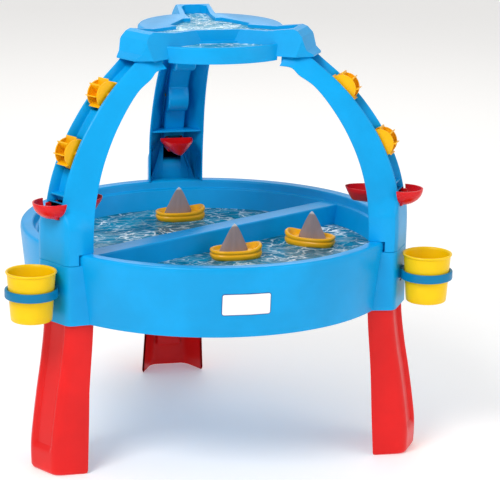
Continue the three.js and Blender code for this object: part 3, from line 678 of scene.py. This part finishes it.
class WATERTABLE_OT_arms(bpy.types.Operator):
    """Three arched arms with a water channel, wheel pockets and a wide foot"""
    bl_idname = "water_table.arms"
    bl_label = "Arms"

    EDGE_HALF = 21.0
    CHANNEL_HALF = 14.5
    CHANNEL_END = 437.0
    POST = [(0.0, 31.0), (0.068, 38.0), (0.215, 41.5), (0.4875, 46.0), (1.0, 48.0)]
    SINK = 5.5
    POCKET = 28.6
    FOOT_TOP, FOOT_BLEND = 430, 34
    SEAT_Z = 356.0
    WHOLE = 1e6  # a stop deeper than any section
    SEEN = 18  # corners of a section from the foot's edge to the middle of the channel

    def half_at(self, part, lip, blend):
        """Half width of the arm at a part of its depth, counted from the outer edges."""
        plain = self.EDGE_HALF + (lip - self.EDGE_HALF) * part
        for (p0, h0), (p1, h1) in zip(self.POST, self.POST[1:]):
            if part <= p1:
                foot = h0 + (h1 - h0) * (part - p0) / (p1 - p0)
                break
        return plain + (foot - plain) * blend

    def section(self, inner, outer, lip, deep, stop):
        """The section's corners at one station, as (depth from the outer edges, y) on one side."""
        depth = (outer - inner).length
        blend = smooth_step((self.FOOT_TOP - outer.y) / self.FOOT_BLEND)
        def half(d):
            return self.half_at(min(1.0, max(0.0, d / depth)), lip, blend)
        wall = 3.0
        end = min(depth, stop)
        cap = half(0)
        channel = max(deep, 0.0)
        narrow = self.CHANNEL_HALF
        top = cap - 2.6 if channel else cap - 6
        rim = min(top, 18.4)
        outside = [(end, half(end) - 0.9), (end - 0.9, half(end))]
        outside += [(min(end, part * depth), half(min(end, part * depth)))
                    for part in (0.8, 0.6, 0.4875, 0.33, 0.215, 0.14, 0.068)]
        outside += [(0.9, half(0.9) - 0.05), (0.25, cap - 0.5), (0.0, cap - 1.3)]
        trough = [(0.0, rim), (min(0.7, channel), rim - 0.8),
                  (max(channel - 3.2, min(0.7, channel)), 15.0),
                  (max(channel - 0.9, 0.0), narrow - 0.3), (channel, narrow - 2.6), (channel, 6.0)]
        under = channel + wall
        inside = [(under, 6.0), (under, narrow + 1.2), (max(under - 1.8, wall), narrow + wall),
                  (wall + 0.4, narrow + wall + 0.1), (wall, half(wall) - wall * 1.2)]
        inside += [(min(end, part * depth), half(min(end, part * depth)) - wall)
                   for part in (0.215, 0.4875, 0.8)]
        inside += [(end, half(end) - wall)]
        return outside + trough + inside, depth

    def arm(self, side):
        inners, outers = spline(INNER_EDGE, ARM_STATIONS), spline(OUTER_EDGE, ARM_STATIONS)
        hubs = []
        for place in ("upper", "lower"):
            low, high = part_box(f"wheel_{side}_{place}")
            hub = ((low + high) / 2 - AXIS) / MM
            hubs.append(Vector((hub.xy.length, hub.z)))
        stations = []
        for i, (inner, outer) in enumerate(zip(inners, outers)):
            lip = 40 + 8 * min(1.0, i / ARM_STATIONS / 0.7)
            stations.append((inner, outer, lip))
        bm = bmesh.new()
        rings = []
        started = False
        for i, (inner, outer, lip) in enumerate(stations):
            depth = (outer - inner).length
            deep = 0.22 * depth + 7.5
            for hub in hubs:
                along = (outer.lerp(inner, self.SINK / depth) - hub).length
                if along < self.POCKET:
                    deep = max(deep, self.SINK + math.sqrt(self.POCKET ** 2 - along ** 2))
            ends = [deep]
            if outer.y < self.CHANNEL_END:
                if not started:
                    ends = [deep, 0.0]
                    started = True
                else:
                    ends = [0.0]
            for value in ends:
                rings.append(self.ring(inner, outer, lip, value, self.WHOLE))
            if outer.y > self.SEAT_Z >= stations[min(i + 1, ARM_STATIONS)][1].y:
                seat_in, seat_out = inner.copy(), outer.copy()
                seat_in.y = seat_out.y = self.SEAT_Z
                rings.append(self.ring(seat_in, seat_out, lip, 0.0, self.WHOLE))
                rings.append(self.ring(seat_in, seat_out, lip, 0.0, seat_out.x - RIM_R - GAP))
            elif outer.y <= self.SEAT_Z:
                rings[-1] = self.ring(inner, outer, lip, 0.0, outer.x - RIM_R - GAP)
        sweep(bm, rings)
        self.shelf(bm)
        self.plug(bm)
        neck = 15.2
        window(bm, (300, -neck, 409.0), (335, neck, 433.0))
        placed(bm, SIDES[side])
        finished(bm, f"arm_{side}_shell", body_plastic(), nodes=[f"arm_{side}"], outward=False)

    def ring(self, inner, outer, lip, deep, stop):
        """One closed station: over the outside and the channel, then back along the inside."""
        half, depth = self.section(inner, outer, lip, deep, stop)
        points = []
        for d, y in half:
            at = outer.lerp(inner, d / depth)
            points.append((at.x, y, at.y))
        far = [(x, -y, z) for x, y, z in points]
        shown, hidden = far[:self.SEEN], far[self.SEEN:]
        return points[:self.SEEN] + shown[::-1] + hidden[::-1] + points[self.SEEN:]

    def shelf(self, bm):
        outline = mirrored([(277.5, -44.6), (300, -31.5), (316.5, -21.5), (316.5, -10)])
        bar_of(bm, outline, 444.0, 447.0, 0.5)

    def plug(self, bm):
        part = bmesh.new()
        def block(near, far, half):
            return mirrored(rounded([(near, -4), (near, -half), (far, -half), (far, -4)], 3, 3))
        sweep(part, [level(block(131, 145, 24), 657), level(block(131, 145, 31), 627.4),
                     level(block(128, 148, 34), 627.4), level(block(128, 148, 27), 661),
                     level(block(129, 147, 26), 662)])
        merge(bm, part)

    def execute(self, context):
        for side in SIDES:
            self.arm(side)
        return {"FINISHED"}


# ---- top tray ------------------------------------------------------------------------------
class WATERTABLE_OT_top_tray(bpy.types.Operator):
    """Top tray with its hoods, with every moulded edge rounded"""
    bl_idname = "water_table.top_tray"
    bl_label = "Top tray"

    def execute(self, context):
        bm = bmesh.new()
        bm.from_mesh(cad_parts["top_tray"].data)
        bmesh.ops.remove_doubles(bm, verts=bm.verts, dist=2e-5)
        bmesh.ops.dissolve_degenerate(bm, edges=bm.edges, dist=2e-5)
        bmesh.ops.dissolve_limit(bm, angle_limit=math.radians(1.0), verts=bm.verts, edges=bm.edges)
        edge_bevel(bm, sizes().edge, angle=18, segments=3)
        finished(bm, "tray_shell", body_plastic(), nodes=["top_tray"], outward=False, sharp=60,
                 planes=True)
        return {"FINISHED"}


# ---- legs ----------------------------------------------------------------------------------
LEG_LIPS = [(335.6, 285), (240, 285), (150, 292), (70, 297), (0, 302)]
LEG_FACE = [(335.6, 322.6), (240, 322.6), (180, 329.5), (130, 338.5), (75, 347), (38, 351),
            (0, 350)]


class WATERTABLE_OT_legs(bpy.types.Operator):
    """Three splayed U-section legs with a long recess above a sill"""
    bl_idname = "water_table.legs"
    bl_label = "Legs"

    TOP = 335.6
    WALL = 3.5
    RECESS = 6.0

    def radius(self, curve, z):
        for a, b in zip(curve, curve[1:]):
            if a.x >= z >= b.x:
                return a.y + (b.y - a.y) * (a.x - z) / max(1e-6, a.x - b.x)
        return curve[-1].y if z < curve[-1].x else curve[0].y

    def half_ring(self, lips, face, z, inset):
        lip_half = 49 + 6.5 * max(0.0, 1 - z / 130)
        sunk = self.RECESS * smooth_step((z - 37) / 9) * smooth_step((262 - z) / 16)
        w = inset * self.WALL
        reach = face - w
        slope = (lip_half - 36.5) / (face - 7 - lips)
        start = Vector((face - 15 - w * 0.5, -36.5 - 10 * slope + w * 0.95))
        corner = Vector((face - 1.5 - w, -35.0 + w))
        end = Vector((reach, -24.2 + w * 0.1))
        bend = [start * (1 - t) ** 2 + corner * 2 * t * (1 - t) + end * t * t
                for t in (0, 0.15, 0.3, 0.45, 0.6, 0.75, 0.88, 1)]
        return [(lips, -lip_half + w), (lips + 2 + w,
                                        -lip_half + w)] + [tuple(p) for p in bend] + [
            (reach - sunk * 0.3, -20.8), (reach - sunk * 0.85, -18.2), (reach - sunk, -16.5),
            (reach - sunk, -8)]

    def leg(self, side, material):
        lips = spline(LEG_LIPS, 80)
        face = spline(LEG_FACE, 80)
        heights = [0.0, 0.7, 1.7, 3.2]
        heights += [i * 5.0 for i in range(1, 14)] + [70 + 12 * i for i in range(16)]
        heights += [254 + 3 * i for i in range(5)] + [280, 300, 320, self.TOP - 1.2, self.TOP]
        outer = []
        for z in heights:
            tuck = 3.0 * (1 - min(1.0, z / 5) ** 0.5) + (1.2 if z == self.TOP else 0.0)
            half = self.half_ring(self.radius(lips, z), self.radius(face, z) - tuck, z, 0)
            outer.append(level(mirrored([(x, y + tuck) for x, y in half]), z))
        inner = []
        for z in heights[:-1]:
            at = min(z, self.TOP - self.WALL)
            half = self.half_ring(self.radius(lips, at) + 0.01, self.radius(face, at), at, 1)
            inner.append(level(mirrored([(x, y) for x, y in half]), at))
        bm = bmesh.new()
        sweep(bm, list(reversed(inner)) + outer)
        # The side between the lips is open all the way down.
        gap = [f for f in bm.faces
               if len({round(v.co.x - self.radius(lips, v.co.z), 0) for v in f.verts}) == 1
               and abs(f.calc_center_median().y) < 5 and f.calc_center_median().x < 306]
        bmesh.ops.delete(bm, geom=gap, context="FACES")
        rims = [e for e in bm.edges if len(e.link_faces) == 1]
        if rims:
            bmesh.ops.bridge_loops(bm, edges=rims)
        strip = bmesh.new()
        rows = []
        for z in range(40, 262, 10):
            back = self.radius(face, z) - self.WALL
            rows.append([(back - 6.6, -20.0, z), (back - 6.6, 20.0, z), (back - 2, 23.0, z),
                         (back - 2, -23.0, z)])
        sweep(strip, rows)
        merge(bm, strip)
        tab = bmesh.new()
        tab_outline = [(318, -5), (325.7, -5), (325.7, 5), (318, 5)]
        sweep(tab, [level(tab_outline, 284), level(tab_outline, 294)])
        edge_bevel(tab, 0.8)
        merge(bm, tab)
        placed(bm, SIDES[side])
        finished(bm, f"leg_{side}_shell", material, nodes=[f"leg_{side}"],
                 sharp=50)

    def execute(self, context):
        red = moulded("leg_plastic", tuple(colours().legs), rough=0.32, scuff=0.22)
        for side in SIDES:
            self.leg(side, red)
        return {"FINISHED"}


# ---- scoops --------------------------------------------------------------------------------
class WATERTABLE_OT_scoops(bpy.types.Operator):
    """Scoops that catch the water outside each arm and pour it into the pools"""
    bl_idname = "water_table.scoops"
    bl_label = "Scoops"

    RIM = 436.0
    BACK = 283.5

    def catcher(self, bm):
        part = bmesh.new()
        bmesh.ops.create_uvsphere(part, u_segments=56, v_segments=36, radius=1)
        bmesh.ops.scale(part, verts=part.verts, vec=(34, 31, 27))
        bmesh.ops.translate(part, verts=part.verts, vec=(324, 0, self.RIM))
        everything = part.verts[:] + part.edges[:] + part.faces[:]
        bmesh.ops.bisect_plane(part, geom=everything, dist=1e-4, plane_co=(0, 0, self.RIM),
                               plane_no=(0, 0, 1), clear_outer=True)
        everything = part.verts[:] + part.edges[:] + part.faces[:]
        bmesh.ops.bisect_plane(part, geom=everything, dist=1e-4, plane_co=(327.0, 0, 390),
                               plane_no=(-1, 0, -0.107), clear_outer=True)
        bmesh.ops.recalc_face_normals(part, faces=part.faces)
        if sum(f.normal.z for f in part.faces) > 0:
            bmesh.ops.reverse_faces(part, faces=part.faces)
        bmesh.ops.solidify(part, geom=part.faces[:], thickness=2.4)
        edge_bevel(part, 0.7, angle=50, segments=2)
        merge(bm, part)

    def spout_ring(self, z, long, half, back):
        points = []
        for i in range(25):
            turn = math.pi / 2 + math.pi * i / 24
            points.append((back + long * math.cos(turn), half * math.sin(turn), z))
        return points

    def spout(self, bm):
        part = bmesh.new()
        levels = [(409.4, 38, 6.0), (410.2, 41, 8.8), (413.5, 43.6, 13.5), (418, 46, 18),
                  (422.5, 48.4, 22.6),
                  (427, 50.5, 26.5), (431, 52.4, 27.8), (432.6, 52.8, 28.0), (433, 52.2, 27.4)]
        inner = [(433, 51.0, 26.2), (432.4, 50.3, 25.5), (427, 48.2, 24.2), (420, 44.6, 18.4),
                 (414.5, 41.4, 12.4),
                 (412.2, 38.5, 8.0), (411.9, 36.0, 5.0)]
        rings = [self.spout_ring(z, a, b, self.BACK) for z, a, b in levels]
        rings += [self.spout_ring(z, a, b, self.BACK - 2.4) for z, a, b in inner]
        sweep(part, rings)
        merge(bm, part)

    def neck(self, bm):
        part = bmesh.new()
        section = rounded([(-14.6, 432.6), (-14.6, 409.6), (14.6, 409.6), (14.6, 432.6),
                           (12.2, 432.6),
                           (12.2, 412), (-12.2, 412), (-12.2, 432.6)], 0.8, 2, closed=True)
        sweep(part, [[(x, y, z) for y, z in section] for x in (281.5, 296, 312, 328.5)])
        merge(bm, part)

    def execute(self, context):
        red = moulded("scoop_plastic", tuple(colours().scoops), rough=0.28, coat=0.08)
        for side, azimuth in SIDES.items():
            bm = bmesh.new()
            self.catcher(bm)
            self.spout(bm)
            self.neck(bm)
            placed(bm, azimuth)
            finished(bm, f"scoop_{side}_shell", red, nodes=[f"scoop_{side}"],
                     outward=False, sharp=45)
        return {"FINISHED"}


# ---- wheels --------------------------------------------------------------------------------
class WATERTABLE_OT_wheels(bpy.types.Operator):
    """Paddle wheels that turn in the channels"""
    bl_idname = "water_table.wheels"
    bl_label = "Water wheels"
    DISC = 22.5
    HALF = 13.0
    AXLE_R = 2.5
    AXLE_HALF = 18.6

    def wheel(self):
        bm = bmesh.new()
        hub = [(0, -self.AXLE_HALF), (self.AXLE_R - 0.4, -self.AXLE_HALF),
               (self.AXLE_R, -self.AXLE_HALF + 0.4), (self.AXLE_R, -self.HALF - 0.2),
               (4.6, -self.HALF), (5.5, -self.HALF + 0.9), (5.0, 0), (5.5, self.HALF - 0.9),
               (4.6, self.HALF), (self.AXLE_R, self.HALF + 0.2),
               (self.AXLE_R, self.AXLE_HALF - 0.4),
               (self.AXLE_R - 0.4, self.AXLE_HALF), (0, self.AXLE_HALF)]
        part = bmesh.new()
        spun(part, hub, steps=24, closed=False)
        merge(bm, part)
        for side in (-1, 1):
            face = self.HALF * side
            back = (self.HALF - 1.8) * side
            bead = (self.HALF - 2.6) * side
            disc = [(4.5, face), (18.6, face), (19.4, face - 0.3 * side),
                    (self.DISC - 1.4, face - 0.2 * side),
                    (self.DISC - 0.3, face - 0.5 * side), (self.DISC, face - 1.2 * side),
                    (self.DISC - 0.3, bead), (self.DISC - 1.6, bead), (self.DISC - 2.4, back),
                    (4.5, back)]
            part = bmesh.new()
            spun(part, disc, steps=40)
            merge(bm, part)
        bmesh.ops.rotate(bm, verts=bm.verts, cent=(0, 0, 0),
                         matrix=Matrix.Rotation(math.pi / 2, 3, "X"))
        count = sizes().paddles
        for i in range(count):
            part = bmesh.new()
            bmesh.ops.create_grid(part, x_segments=8, y_segments=2, size=1)
            bmesh.ops.scale(part, verts=part.verts, vec=(11.3, self.HALF - 0.9, 1))
            bmesh.ops.translate(part, verts=part.verts, vec=(14.6, 0, 0))
            for vert in part.verts:
                vert.co.z = 2.6 * ((vert.co.x - 3) / 23) ** 2 - 0.9
            bmesh.ops.solidify(part, geom=part.faces[:], thickness=1.7)
            edge_bevel(part, 0.35, angle=50, segments=2)
            bmesh.ops.rotate(part, verts=part.verts, cent=(0, 0, 0),
                             matrix=Matrix.Rotation(2 * math.pi * i / count, 3, "Y"))
            merge(bm, part)
        return bm

    def execute(self, context):
        yellow = moulded("wheel_plastic", tuple(colours().wheels), rough=0.3, coat=0.06)
        for side, azimuth in SIDES.items():
            for place in ("upper", "lower"):
                name = f"wheel_{side}_{place}"
                low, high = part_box(name)
                bm = self.wheel()
                matrix = Matrix.Translation((low + high) / 2) @ Matrix.Rotation(
                    math.radians(azimuth), 4, "Z") @ Matrix.Scale(MM, 4)
                bmesh.ops.transform(bm, matrix=matrix, verts=bm.verts)
                finished(bm, f"{name}_body", yellow, body=name, nodes=[name],
                         outward=False, sharp=45)
        return {"FINISHED"}


# ---- cups ----------------------------------------------------------------------------------
class WATERTABLE_OT_cups(bpy.types.Operator):
    """Loose cups standing in their rings on the side lobes"""
    bl_idname = "water_table.cups"
    bl_label = "Cups and rings"

    CUP_R = 368.9
    LOW, HIGH = 254.0, 333.0
    BOTTOM_R, TOP_R, LIP_R = 32.5, 37.8, 40.0
    RING_LOW, RING_HIGH, RING_R = 291.0, 305.0, 41.5

    def wall_r(self, z):
        span = self.HIGH - self.LOW - 6
        return self.BOTTOM_R + (self.TOP_R - self.BOTTOM_R) * (z - self.LOW - 2) / span

    def cup(self, side, material):
        low, high = self.LOW, self.HIGH
        outside = [(0, low + 1.2), (26, low + 1.2), (27.4, low), (self.BOTTOM_R - 1.6, low),
                   (self.BOTTOM_R - 0.2, low + 1.4), (self.wall_r(low + 12), low + 12),
                   (self.wall_r(290), 290), (self.wall_r(high - 7), high - 7),
                   (self.TOP_R, high - 4.4), (self.LIP_R - 0.6, high - 3.2),
                   (self.LIP_R, high - 1.6),
                   (self.LIP_R - 0.7, high - 0.2), (self.LIP_R - 1.8, high),
                   (self.TOP_R - 1.2, high - 0.9)]
        inside = [(self.TOP_R - 2.2, high - 4), (self.wall_r(290) - 2, 290),
                  (self.BOTTOM_R - 2, low + 5),
                  (self.BOTTOM_R - 3.4, low + 3.4), (0, low + 3.2)]
        bm = bmesh.new()
        spun(bm, outside + inside, steps=96, closed=False)
        placed(bm, SIDES[side], (self.CUP_R, 0, 0))
        name = f"cup_{side}"
        finished(bm, f"{name}_body", material, body=name, nodes=[name],
                 sharp=45)

    def ring(self, side, material):
        low, high, r = self.RING_LOW, self.RING_HIGH, self.RING_R
        bm = bmesh.new()
        section = rounded([(self.wall_r(low) + 0.5, low), (r, low), (r, high),
                           (self.wall_r(high) + 0.5, high)],
                          2.2, 4, closed=True)
        spun(bm, section, steps=96)
        pad = bmesh.new()
        near, far = 326.8 - self.CUP_R, -r + 2.2
        outline = [(near, -15), (near, 15), (far, 12.0), (far + 0.8, 6), (far + 0.8, -6),
                   (far, -12.0)]
        sweep(pad, [level(outline, low - 0.9), level(outline, high + 0.9)])
        edge_bevel(pad, 1.0, segments=3)
        merge(bm, pad)
        placed(bm, SIDES[side], (self.CUP_R, 0, 0))
        finished(bm, f"cup_ring_{side}_band", material, nodes=[f"cup_ring_{side}"],
                 sharp=45)

    def execute(self, context):
        yellow = moulded("cup_plastic", tuple(colours().cups), rough=0.32, coat=0.05)
        teal = moulded("ring_plastic", tuple(colours().rings), rough=0.38, coat=0.03)
        for side in ("left", "right"):
            self.cup(side, yellow)
            self.ring(side, teal)
        return {"FINISHED"}


# ---- boats ---------------------------------------------------------------------------------
class WATERTABLE_OT_boats(bpy.types.Operator):
    """Three toy sailing boats that float in the pools"""
    bl_idname = "water_table.boats"
    bl_label = "Boats"

    PLACES = {"rear": (-8, 200, 4), "front": (31, -68, 4), "right": (171, -6, 145)}
    LENGTH, WIDTH, HEIGHT = 86.0, 54.0, 22.0
    LOW = 304.0
    SAIL_LENGTH, SAIL_WIDTH, SAIL_HEIGHT = 50.0, 17.0, 46.0

    def hull_ring(self, inset, z, sheer):
        points = []
        for i in range(64):
            turn = 2 * math.pi * i / 64
            along = math.copysign(abs(math.cos(turn)) ** 0.85, math.cos(turn))
            across = math.copysign(abs(math.sin(turn)) ** 0.8, math.sin(turn))
            points.append(((self.LENGTH / 2 - inset) * along, (self.WIDTH / 2 - inset) * across,
                           z + sheer * max(0.0, along) ** 3))
        return points

    def hull(self):
        bm = bmesh.new()
        outer = [(15, 0, 0), (9, 0.5, 0), (5.6, 2, 0), (2.6, 4.4, 0), (0.9, 7, 0), (0.1, 9.4, 0.6),
                 (0.0, 11.2, 1.4),
                 (0.5, 12.6, 2.2), (1.5, 13.4, 2.6), (1.6, 14.2, 3.4), (0.4, 15.6, 4.8),
                 (0.0, 17.2, 5.8),
                 (0.5, 19.0, 6.4), (1.8, 19.9, 6.8), (3.4, 20.1, 6.9), (5.0, 19.4, 6.8)]
        inner = [(6.4, 17.2, 6.4), (7.6, 15.2, 3.4), (9.4, 14.4, 0.8), (12, 14.1, 0.2),
                 (16, 14.0, 0.0)]
        sweep(bm, [self.hull_ring(*row) for row in outer + inner])
        bench = mirrored(rounded([(19, -0.5), (19, -15.5), (26, -14), (29, -10), (30.5, -0.5)], 2,
                                 2))
        bar_of(bm, bench, 13.8, 16.2, 0.6)
        bmesh.ops.translate(bm, verts=bm.verts, vec=(0, 0, self.LOW))
        return bm

    def sail(self):
        bm = bmesh.new()
        base = self.LOW + self.HEIGHT - 8 + 0.4
        rows = 22
        rings = []
        for k in range(rows + 1):
            t = k / rows
            swell = 1 + 0.16 * math.sin(math.pi * min(1.0, t / 0.35)) * (1 - t)
            long = (self.SAIL_LENGTH / 2 - 1) * max(0.03, (1 - t) ** 0.7) * min(1.04, swell)
            wide = (self.SAIL_WIDTH / 2) * max(0.07, (1 - t) ** 0.8)
            lean = -4 + 1.4 * t
            ring = []
            for i in range(64):
                turn = 2 * math.pi * i / 64
                c, s = math.cos(turn), math.sin(turn)
                ridge = 1 + 0.34 * math.exp(-(c / 0.1) ** 2)
                x = long * math.copysign(abs(c) ** 0.8, c)
                y = wide * 0.74 * math.copysign(abs(s) ** 1.7, s) * ridge
                ring.append((x + lean, y, base + (self.SAIL_HEIGHT - 0.3) * t))
            rings.append(ring)
        sweep(bm, rings)
        return bm

    def execute(self, context):
        amber = moulded("hull_plastic", tuple(colours().hulls), rough=0.3, coat=0.08)
        grey = sail_plastic("sail_plastic", tuple(colours().sails), (0.7, 0.66, 0.64, 1))
        for name, (x, y, heading) in self.PLACES.items():
            place = Matrix.Translation(AXIS) @ Matrix.Translation((x * MM, y * MM,
                                                                   0)) @ Matrix.Rotation(
                math.radians(heading), 4, "Z") @ Matrix.Scale(MM, 4)
            for kind, bm, material, slot in (("hull", self.hull(), amber, "hull_amber"),
                                             ("sail", self.sail(), grey, "sail_grey")):
                bmesh.ops.transform(bm, matrix=place, verts=bm.verts)
                finished(bm, f"boat_{name}_{kind}_body", material, body=f"boat_{name}",
                         nodes=[f"boat_{name}_{kind}"], sharp=50)
        return {"FINISHED"}


# ---- stage ---------------------------------------------------------------------------------
class WATERTABLE_OT_stage(bpy.types.Operator):
    """Pale floor, soft studio light and the camera"""
    bl_idname = "water_table.stage"
    bl_label = "Stage"

    def lamp(self, name, place, aim, size, power, colour=(1, 1, 1)):
        light = bpy.data.lights.new(name, "AREA")
        light.shape = "DISK"
        light.size = size
        light.energy = power
        light.color = colour
        lamp = bpy.data.objects.new(name, light)
        bpy.context.scene.collection.objects.link(lamp)
        lamp.location = place
        lamp.rotation_euler = (Vector(aim) - Vector(place)).to_track_quat("-Z", "Y").to_euler()

    def floor(self):
        bm = bmesh.new()
        bmesh.ops.create_circle(bm, cap_ends=True, segments=96, radius=14)
        mesh = bpy.data.meshes.new("studio_floor")
        bm.to_mesh(mesh)
        bm.free()
        mesh.materials.append(studio_paper("studio_paper", (0.93, 0.915, 0.895, 1)))
        floor = bpy.data.objects.new("studio_floor", mesh)
        floor.location.z = -0.0005
        bpy.context.scene.collection.objects.link(floor)

    def camera(self):
        data = bpy.data.cameras.new("camera")
        data.sensor_width = 36
        data.lens = 171.9
        data.clip_end = 60
        camera = bpy.data.objects.new("camera", data)
        bpy.context.scene.collection.objects.link(camera)
        camera.location = AXIS + Vector((-0.7949, -3.7281, 1.3087))
        aim = AXIS + Vector((0.0664, -0.0154, 0.3217))
        roll = Matrix.Rotation(math.radians(0.83), 4, "Z")
        turn = (aim - camera.location).to_track_quat("-Z", "Y").to_matrix().to_4x4()
        camera.rotation_euler = (turn @ roll).to_euler()
        bpy.context.scene.camera = camera

    def execute(self, context):
        self.floor()
        self.camera()
        world = bpy.data.worlds.new("studio")
        world.use_nodes = True
        world.node_tree.nodes["Background"].inputs["Color"].default_value = (1, 1, 1, 1)
        world.node_tree.nodes["Background"].inputs["Strength"].default_value = 0.62
        context.scene.world = world
        context.scene.view_settings.view_transform = "Standard"
        self.lamp("key", (-1.5, -1.6, 2.6), (0, 0, 0.35), 1.3, 52)
        self.lamp("fill", (2.4, -2.2, 1.6), (0, 0, 0.35), 2.4, 16)
        self.lamp("back", (0.6, 2.6, 2.4), (0, 0, 0.5), 2.0, 18)
        return {"FINISHED"}


# ---- add-on --------------------------------------------------------------------------------
PIECES = (WATERTABLE_OT_basin, WATERTABLE_OT_water, WATERTABLE_OT_label, WATERTABLE_OT_arms,
          WATERTABLE_OT_top_tray, WATERTABLE_OT_legs, WATERTABLE_OT_scoops, WATERTABLE_OT_wheels,
          WATERTABLE_OT_cups, WATERTABLE_OT_boats, WATERTABLE_OT_stage)


class WATERTABLE_PT_panel(bpy.types.Panel):
    """Lists the table's pieces, sizes and colours"""
    bl_idname = "WATERTABLE_PT_panel"
    bl_label = "Sand and Water Table"
    bl_space_type = "VIEW_3D"
    bl_region_type = "UI"
    bl_category = "Water Table"

    def draw(self, context):
        for operator in PIECES:
            self.layout.operator(operator.bl_idname)
        for group in (context.scene.water_table_sizes, context.scene.water_table_colours):
            box = self.layout.box()
            for setting in group.__annotations__:
                box.prop(group, setting)


CLASSES = (WaterTableSizes, WaterTableColours) + PIECES + (WATERTABLE_PT_panel,)


def register():
    for cls in CLASSES:
        bpy.utils.register_class(cls)
    bpy.types.Scene.water_table_sizes = bpy.props.PointerProperty(type=WaterTableSizes)
    bpy.types.Scene.water_table_colours = bpy.props.PointerProperty(type=WaterTableColours)


def unregister():
    del bpy.types.Scene.water_table_colours
    del bpy.types.Scene.water_table_sizes
    for cls in reversed(CLASSES):
        bpy.utils.unregister_class(cls)


def main():
    register()
    for operator in PIECES:
        group, name = operator.bl_idname.split(".")
        getattr(getattr(bpy.ops, group), name)()


if __name__ == "__main__":
    main()
